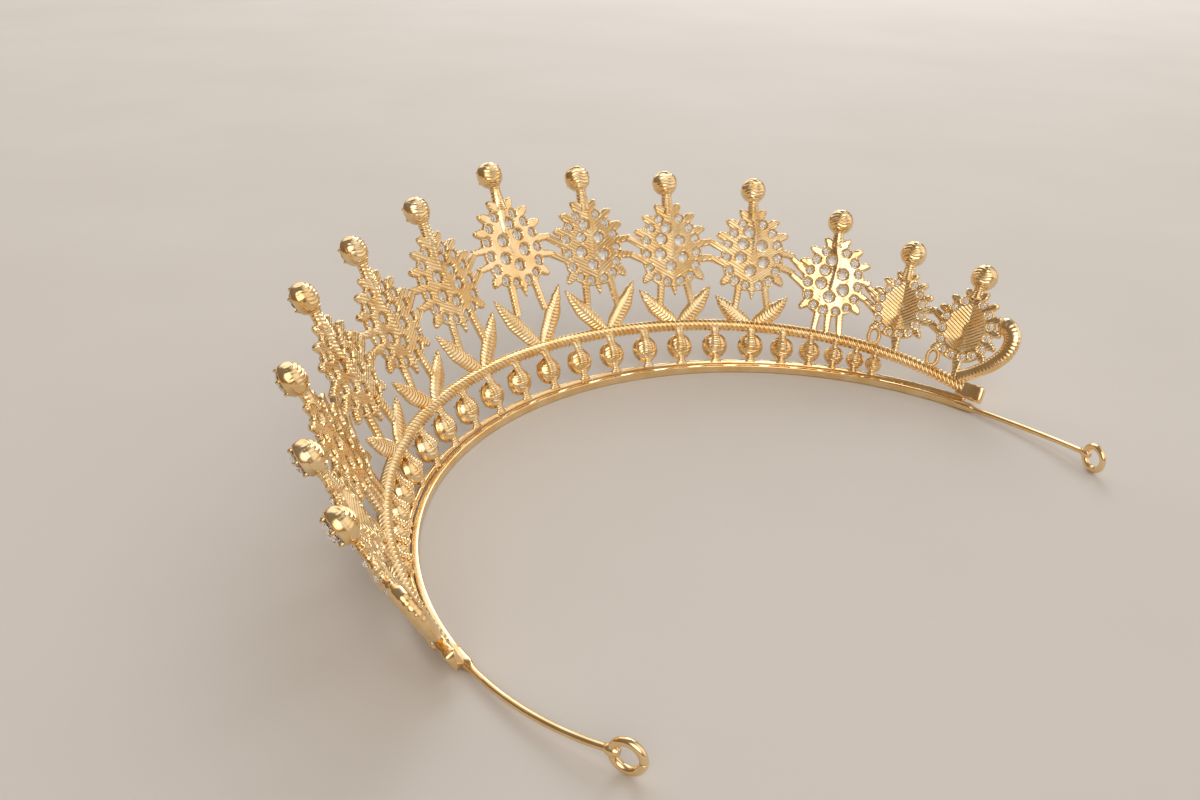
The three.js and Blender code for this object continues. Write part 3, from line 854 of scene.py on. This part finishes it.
def cluster_form(side, place):
    arc, height, _, finial = CLUSTERS[place]
    distance = cluster_distance(place)
    step = OPENWORK_STEP if place <= OPENWORK_REACH else SOLID_STEP
    low, high = (-12.5, -16.5), (12.5, finial - height + 1)
    points, triangles = flat_mesh(distance, low, high, step)
    inside = -distance(points)
    back, front, lines = cluster_reliefs(place, points, inside)
    count = len(points)
    local = np.concatenate([np.column_stack([points, back]), np.column_stack([points, front])])
    border = border_edges(triangles)
    a, b = border.T
    walls = np.stack([a, b, b + count, a + count], -1)
    seat = Seat(side, arc, height)
    form = Form()
    form.add(seat.put(local), [triangles, triangles[:, ::-1] + count, walls], np.tile(lines, 2))
    return form, seat


def cluster(side, place, number):
    form, seat = cluster_form(side, place)
    scale = CLUSTERS[place][2]
    holes = holes_of(place) * scale
    ring = holes[: PLACES - 1]
    top = PEAR_THICKNESS / 2
    for (x0, y0, _), (x1, y1, _) in zip(ring, ring[1:]):
        middle = np.array([(x0 + x1) / 2, (y0 + y1) / 2])
        outward = unit(np.array([y1 - y0, x0 - x1])) * -1
        for offset in (RING_BEAD_SPREAD, -RING_BEAD_SPREAD):
            x, y = middle + offset * outward
            bead(form, seat, (x, y, top - 0.02), RING_BEAD_RADIUS)
    for x, y, radius in holes[PLACES - 1 :]:
        for turn in (0.25, 0.75, 1.25, 1.75):
            at = (radius + 0.16) * np.array([math.cos(turn * math.pi), math.sin(turn * math.pi)])
            bead(form, seat, (x + at[0], y + at[1], top - 0.02), INNER_BEAD_RADIUS)
    form.piece(f"cluster_{number}", "cast_gold", cast_gold, ["gallery_casting"])
    stones = Form()
    for x, y, radius in holes:
        girdle = (x, y, top + CRYSTAL_PROUD)
        brilliant(stones, seat, girdle, radius + CRYSTAL_LAP, CRYSTAL_CROWN, CRYSTAL_PAVILION)
    name = f"cluster_stones_{number}"
    stones.piece(name, "crystal", crystal, ["gallery_casting"], smooth=False)


# Finials, ties and scrolls


def finials():
    form = Form()
    for place in range(len(CLUSTERS)):
        for side in (-1, 1) if place else (1,):
            finial(form, side, place)
    return form.piece("gallery_finials", "cast_gold", cast_gold, ["gallery_casting"])


def finial(form, side, place):
    """A domed cup on a stalk that widens into it and down on to the cluster."""
    arc, height, scale, top = CLUSTERS[place]
    seat = Seat(side, arc, top)

    def shape(local):
        return wavy_ribs(local, 0.0)

    profile = cup_profile(FINIAL_RADIUS, FINIAL_BACK, FINIAL_RIM, 44)
    grooved = [(radius * (0.955 if 0.05 < z < 0.5 else 1.0), z) for radius, z in profile]
    lathe(form, seat, grooved, 54, shape)
    low = height + 8.2 * scale - top
    high = -0.72 * FINIAL_RADIUS
    share = np.linspace(0, 1, 60)
    y = low + (high - low) * share
    wide = along_profile(share, ((0, 1.5), (0.35, 1.1), (0.6, 1.0), (0.85, 1.3), (1, 1.9)))
    deep = along_profile(share, ((0, 0.9), (0.35, 0.85), (0.6, 0.75), (0.85, 1.0), (1, 1.5)))
    depth = -along_profile(share, ((0, 0.55), (0.5, 0.3), (1, 0.45)))
    ring = circle(20)
    pointed = np.where(ring[:, 1] < 0, np.abs(ring[:, 1]) ** 1.4, 0.8 * ring[:, 1])
    local = np.empty((len(share), len(ring), 3))
    local[..., 0] = wide[:, None] * ring[:, 0]
    local[..., 1] = y[:, None]
    local[..., 2] = depth[:, None] - deep[:, None] * np.where(ring[:, 1] < 0, pointed, -pointed)
    form.tube(seat.put(local), local[..., 1] / 0.5)
    claws(form, seat, 0.83 * FINIAL_RADIUS, FINIAL_RIM, 0.36, 6)


def scrolls():
    form = Form()
    for side in (-1, 1):
        for arc in TIE_ARCS:
            tie(form, side, arc)
        scroll(form, side)
    return form.piece("gallery_scrolls", "cast_gold", cast_gold, ["gallery_casting"])


def tie(form, side, arc):
    """A pierced oval between the rope rail and a cluster."""
    seat = Seat(side, arc, float(rope_height(arc)) + TIE_RISE)
    turn = np.linspace(0, 2 * math.pi, 49)
    path = np.stack([1.3 * np.cos(turn), 2.0 * np.sin(turn), np.zeros_like(turn)], -1)
    normal = np.broadcast_to([0.0, 0.0, 1.0], path.shape)
    section = circle(14)[None] * [0.55, 0.6]
    rings = sweep(path, normal, np.broadcast_to(section, (len(path), 14, 2)))
    form.tube(seat.put(rings), turn[:, None] * 4)


def scroll(form, side):
    seat = Seat(side, BLOCK_ARC, BLOCK_HEIGHT)
    path = np.column_stack([smooth_path(SCROLL_PATH, 220), np.zeros(220)])
    share = np.linspace(0, 1, len(path))
    length = share * np.linalg.norm(np.diff(path, axis=0), axis=1).sum()
    stops = ((0, 0.85), (0.15, 0.8), (0.45, 0.95), (0.8, 1.05), (0.93, 1.1), (0.975, 0.8), (1, 0.12))
    wide = along_profile(share, stops)
    ring = circle(28)
    rib = 1 + 0.02 * np.sin(2 * math.pi * length / 0.8)
    section = np.empty((len(path), len(ring), 2))
    section[..., 0] = SCROLL_HALF_WIDTH * (wide * rib)[:, None] * ring[:, 0]
    section[..., 1] = SCROLL_HALF_DEPTH * (wide * rib)[:, None] * ring[:, 1]
    rings = sweep(path, np.broadcast_to([0.0, 0.0, 1.0], path.shape), section)
    form.tube(seat.put(rings))


# Stones


def brilliant(form, seat, centre, radius, crown, pavilion, sides=8):
    """A round cut stone: table, crown with star and main facets, thin girdle and pavilion."""
    step = 2 * math.pi / sides

    def ring(size, depth, shift=0.0):
        turn = step * (np.arange(sides) + shift)
        return np.stack([size * np.cos(turn), size * np.sin(turn), np.full(sides, depth)], -1)

    rings = [
        ring(0.02 * radius, -pavilion, 0.5),
        ring(0.55 * radius, -0.45 * pavilion, 0.5),
        ring(radius, -0.04 * radius),
        ring(radius, 0.04 * radius),
        ring(0.8 * radius, 0.55 * crown, 0.5),
        ring(0.56 * radius, crown),
    ]
    local = np.array(rings).reshape(-1, 3) + np.asarray(centre, float)
    faces = []
    for row in range(len(rings) - 1):
        shifted = row in (0, 3)
        for i in range(sides):
            j = (i + 1) % sides
            low, low_next = row * sides + i, row * sides + j
            high, high_next = low + sides, low_next + sides
            if row in (2, 0):
                faces += [(low, low_next, high_next), (low, high_next, high)]
            elif shifted:
                faces += [(low, low_next, high), (low_next, high_next, high)]
            else:
                faces += [(low, high_next, high), (low, low_next, high_next)]
    last = (len(rings) - 1) * sides
    faces += [(last, last + i, last + i + 1) for i in range(1, sides - 1)]
    faces += [(0, i + 1, i) for i in range(1, sides - 1)]
    form.add(seat.put(local), [faces])


def stone(name, seat, rim, radius, height):
    form = Form()
    centre = (0, 0, rim + STONE_GAP)
    brilliant(form, seat, centre, radius, 0.62 * height, 0.5 * radius)
    return form.piece(f"{name}_cut", "crystal", crystal, [name], smooth=False)


def stones():
    for place in range(-(len(CLUSTERS) - 1), len(CLUSTERS)):
        arc, _, _, top = CLUSTERS[abs(place)]
        seat = Seat(math.copysign(1, place), arc, top)
        name = f"finial_stone_{place + len(CLUSTERS):02d}"
        stone(name, seat, FINIAL_RIM, FINIAL_STONE_RADIUS, FINIAL_STONE_HEIGHT)
    for index in range(-SPINDLES_A_SIDE, SPINDLES_A_SIDE + 1):
        arc = spindle_arc(abs(index))
        seat = Seat(math.copysign(1, index), arc, cup_height(arc))
        radius = RAIL_STONE_RATIO * cup_radius(abs(index))
        name = f"rail_stone_{index + SPINDLES_A_SIDE + 1:02d}"
        stone(name, seat, CUP_RIM, radius, RAIL_STONE_HEIGHT)


# Materials


def new_material(name):
    material = bpy.data.materials.new(name)
    material.use_nodes = True
    tree = material.node_tree
    return material, tree, tree.nodes["Principled BSDF"]


def add_node(tree, kind, **inputs):
    node = tree.nodes.new(kind)
    for key, value in inputs.items():
        node.inputs[key.replace("_", " ")].default_value = value
    return node


def colour_ramp(tree, positions, colours):
    ramp = tree.nodes.new("ShaderNodeValToRGB")
    for stop, position, colour in zip(ramp.color_ramp.elements, positions, colours):
        stop.position = position
        stop.color = (*colour, 1)
    return ramp


def gold(name, colours, roughness, grain_depth, line_depth):
    """Plated gold, its colour and roughness uneven, with fine lines cut where a piece has them."""
    material, tree, shader = new_material(name)
    link = tree.links.new
    shader.inputs["Metallic"].default_value = 1.0
    place = tree.nodes.new("ShaderNodeTexCoord")
    patches = add_node(tree, "ShaderNodeTexNoise", Scale=260.0, Detail=4.0)
    link(place.outputs["Object"], patches.inputs["Vector"])
    tint = colour_ramp(tree, (0.35, 0.68), colours)
    link(patches.outputs["Fac"], tint.inputs["Fac"])
    link(tint.outputs["Color"], shader.inputs["Base Color"])
    wear = add_node(tree, "ShaderNodeTexNoise", Scale=900.0, Detail=3.0)
    link(place.outputs["Object"], wear.inputs["Vector"])
    gloss = tree.nodes.new("ShaderNodeMapRange")
    gloss.inputs["To Min"].default_value = roughness[0]
    gloss.inputs["To Max"].default_value = roughness[1]
    link(wear.outputs["Fac"], gloss.inputs["Value"])
    link(gloss.outputs["Result"], shader.inputs["Roughness"])
    grain = add_node(tree, "ShaderNodeTexNoise", Scale=2600.0, Detail=2.0)
    link(place.outputs["Object"], grain.inputs["Vector"])
    grain_bump = add_node(tree, "ShaderNodeBump", Strength=1.0, Distance=grain_depth)
    link(grain.outputs["Fac"], grain_bump.inputs["Height"])
    phase = tree.nodes.new("ShaderNodeAttribute")
    phase.attribute_name = "lines"
    turn = tree.nodes.new("ShaderNodeMath")
    turn.operation = "MULTIPLY"
    turn.inputs[1].default_value = 2 * math.pi
    link(phase.outputs["Fac"], turn.inputs[0])
    wave = tree.nodes.new("ShaderNodeMath")
    wave.operation = "SINE"
    link(turn.outputs[0], wave.inputs[0])
    line_bump = add_node(tree, "ShaderNodeBump", Strength=1.0, Distance=line_depth)
    link(wave.outputs[0], line_bump.inputs["Height"])
    link(grain_bump.outputs["Normal"], line_bump.inputs["Normal"])
    link(line_bump.outputs["Normal"], shader.inputs["Normal"])
    return material


def crystal_glass():
    material, tree, shader = new_material("clear_crystal")
    shader.inputs["Base Color"].default_value = (0.97, 0.95, 0.91, 1)
    shader.inputs["Transmission Weight"].default_value = 1.0
    shader.inputs["IOR"].default_value = 1.62
    shader.inputs["Roughness"].default_value = 0.0
    haze = add_node(tree, "ShaderNodeTexNoise", Scale=900.0, Detail=2.0)
    bump = add_node(tree, "ShaderNodeBump", Strength=0.3, Distance=0.000004)
    tree.links.new(haze.outputs["Fac"], bump.inputs["Height"])
    tree.links.new(bump.outputs["Normal"], shader.inputs["Normal"])
    return material


def cloth_floor():
    material, tree, shader = new_material("pale_floor")
    weave = add_node(tree, "ShaderNodeTexNoise", Scale=9.0, Detail=3.0)
    place = tree.nodes.new("ShaderNodeTexCoord")
    tree.links.new(place.outputs["Object"], weave.inputs["Vector"])
    tint = colour_ramp(tree, (0.0, 1.0), ((0.60, 0.565, 0.53), (0.68, 0.65, 0.62)))
    tree.links.new(weave.outputs["Fac"], tint.inputs["Fac"])
    tree.links.new(tint.outputs["Color"], shader.inputs["Base Color"])
    shader.inputs["Roughness"].default_value = 0.75
    return material


polished_gold = gold(
    "polished_gold_plate",
    colours=((0.87, 0.60, 0.28), (0.95, 0.74, 0.44)),
    roughness=(0.12, 0.2),
    grain_depth=0.6e-6,
    line_depth=0.0,
)
cast_gold = gold(
    "cast_gold_plate",
    colours=((0.87, 0.60, 0.28), (0.96, 0.77, 0.48)),
    roughness=(0.13, 0.22),
    grain_depth=1.2e-6,
    line_depth=4.5e-5,
)
crystal = crystal_glass()


# Floor, light and camera


def floor():
    half = 4.0
    mesh = bpy.data.meshes.new("floor")
    corners = [(-half, -half, 0), (half, -half, 0), (half, half, 0), (-half, half, 0)]
    mesh.from_pydata(corners, [], [(0, 1, 2, 3)])
    mesh.materials.append(cloth_floor())
    made = bpy.data.objects.new("floor", mesh)
    bpy.context.scene.collection.objects.link(made)
    made.location.z = -0.0001


def area_light(name, place, aim, size, power, colour):
    data = bpy.data.lights.new(name, "AREA")
    data.shape = "RECTANGLE"
    data.size, data.size_y = size
    data.energy = power
    data.color = colour
    light = bpy.data.objects.new(name, data)
    light.location = place
    light.rotation_euler = (Vector(aim) - Vector(place)).to_track_quat("-Z", "Y").to_euler()
    bpy.context.scene.collection.objects.link(light)


def opening(tree, towards, total, direction, edges, light):
    """Adds a soft patch of light about a direction to what the studio gives already."""
    link = tree.links.new
    aim = tree.nodes.new("ShaderNodeVectorMath")
    aim.operation = "DOT_PRODUCT"
    aim.inputs[1].default_value = direction
    link(towards, aim.inputs[0])
    share = tree.nodes.new("ShaderNodeMapRange")
    share.interpolation_type = "SMOOTHSTEP"
    share.inputs["From Min"].default_value, share.inputs["From Max"].default_value = edges
    link(aim.outputs["Value"], share.inputs["Value"])
    scaled = tree.nodes.new("ShaderNodeVectorMath")
    scaled.operation = "SCALE"
    scaled.inputs[0].default_value = light
    link(share.outputs["Result"], scaled.inputs["Scale"])
    added = tree.nodes.new("ShaderNodeVectorMath")
    link(total, added.inputs[0])
    link(scaled.outputs["Vector"], added.inputs[1])
    return added.outputs["Vector"]


def lights():
    area_light("window", (-1.3, -0.9, 0.9), (-0.6, -0.6, 0), (1.0, 0.9), 8.0, (0.95, 0.98, 1.0))
    world = bpy.data.worlds.new("studio")
    bpy.context.scene.world = world
    world.use_nodes = True
    tree = world.node_tree
    link = tree.links.new
    place = tree.nodes.new("ShaderNodeTexCoord")
    split = tree.nodes.new("ShaderNodeSeparateXYZ")
    link(place.outputs["Generated"], split.inputs[0])
    sky = colour_ramp(tree, (0.0, 0.8), ((0.30, 0.17, 0.07), (0.30, 0.27, 0.24)))
    link(split.outputs["Z"], sky.inputs["Fac"])
    total = sky.outputs["Color"]
    for direction, edges, light in OPENINGS:
        total = opening(tree, place.outputs["Generated"], total, direction, edges, light)
    back = tree.nodes["Background"]
    link(total, back.inputs["Color"])
    back.inputs["Strength"].default_value = 0.8


def camera():
    """The photograph's camera."""
    flat = math.cos(CAMERA_PITCH)
    forwards = Vector((
        math.sin(CAMERA_HEADING) * flat,
        math.cos(CAMERA_HEADING) * flat,
        -math.sin(CAMERA_PITCH),
    ))
    right = Vector((math.cos(CAMERA_HEADING), -math.sin(CAMERA_HEADING), 0))
    up = right.cross(forwards)
    turned_right = math.cos(CAMERA_ROLL) * right + math.sin(CAMERA_ROLL) * up
    turned_up = math.cos(CAMERA_ROLL) * up - math.sin(CAMERA_ROLL) * right
    turned = Matrix((turned_right, turned_up, -forwards)).transposed().to_4x4()
    data = bpy.data.cameras.new("camera")
    data.sensor_width = SENSOR_WIDTH
    data.lens = FOCAL_PIXELS / PICTURE_WIDTH * SENSOR_WIDTH
    data.clip_start = 0.01
    made = bpy.data.objects.new("camera", data)
    made.matrix_world = Matrix.Translation(Vector(CAMERA_PLACE) * MM) @ turned
    bpy.context.scene.collection.objects.link(made)
    bpy.context.scene.camera = made


headband()
rails()
spindles()
leaves()
finials()
scrolls()
for place in range(-(len(CLUSTERS) - 1), len(CLUSTERS)):
    cluster(math.copysign(1, place), abs(place), f"{place + len(CLUSTERS):02d}")
stones()
floor()
lights()
camera()
bpy.context.scene.view_settings.view_transform = "Standard"
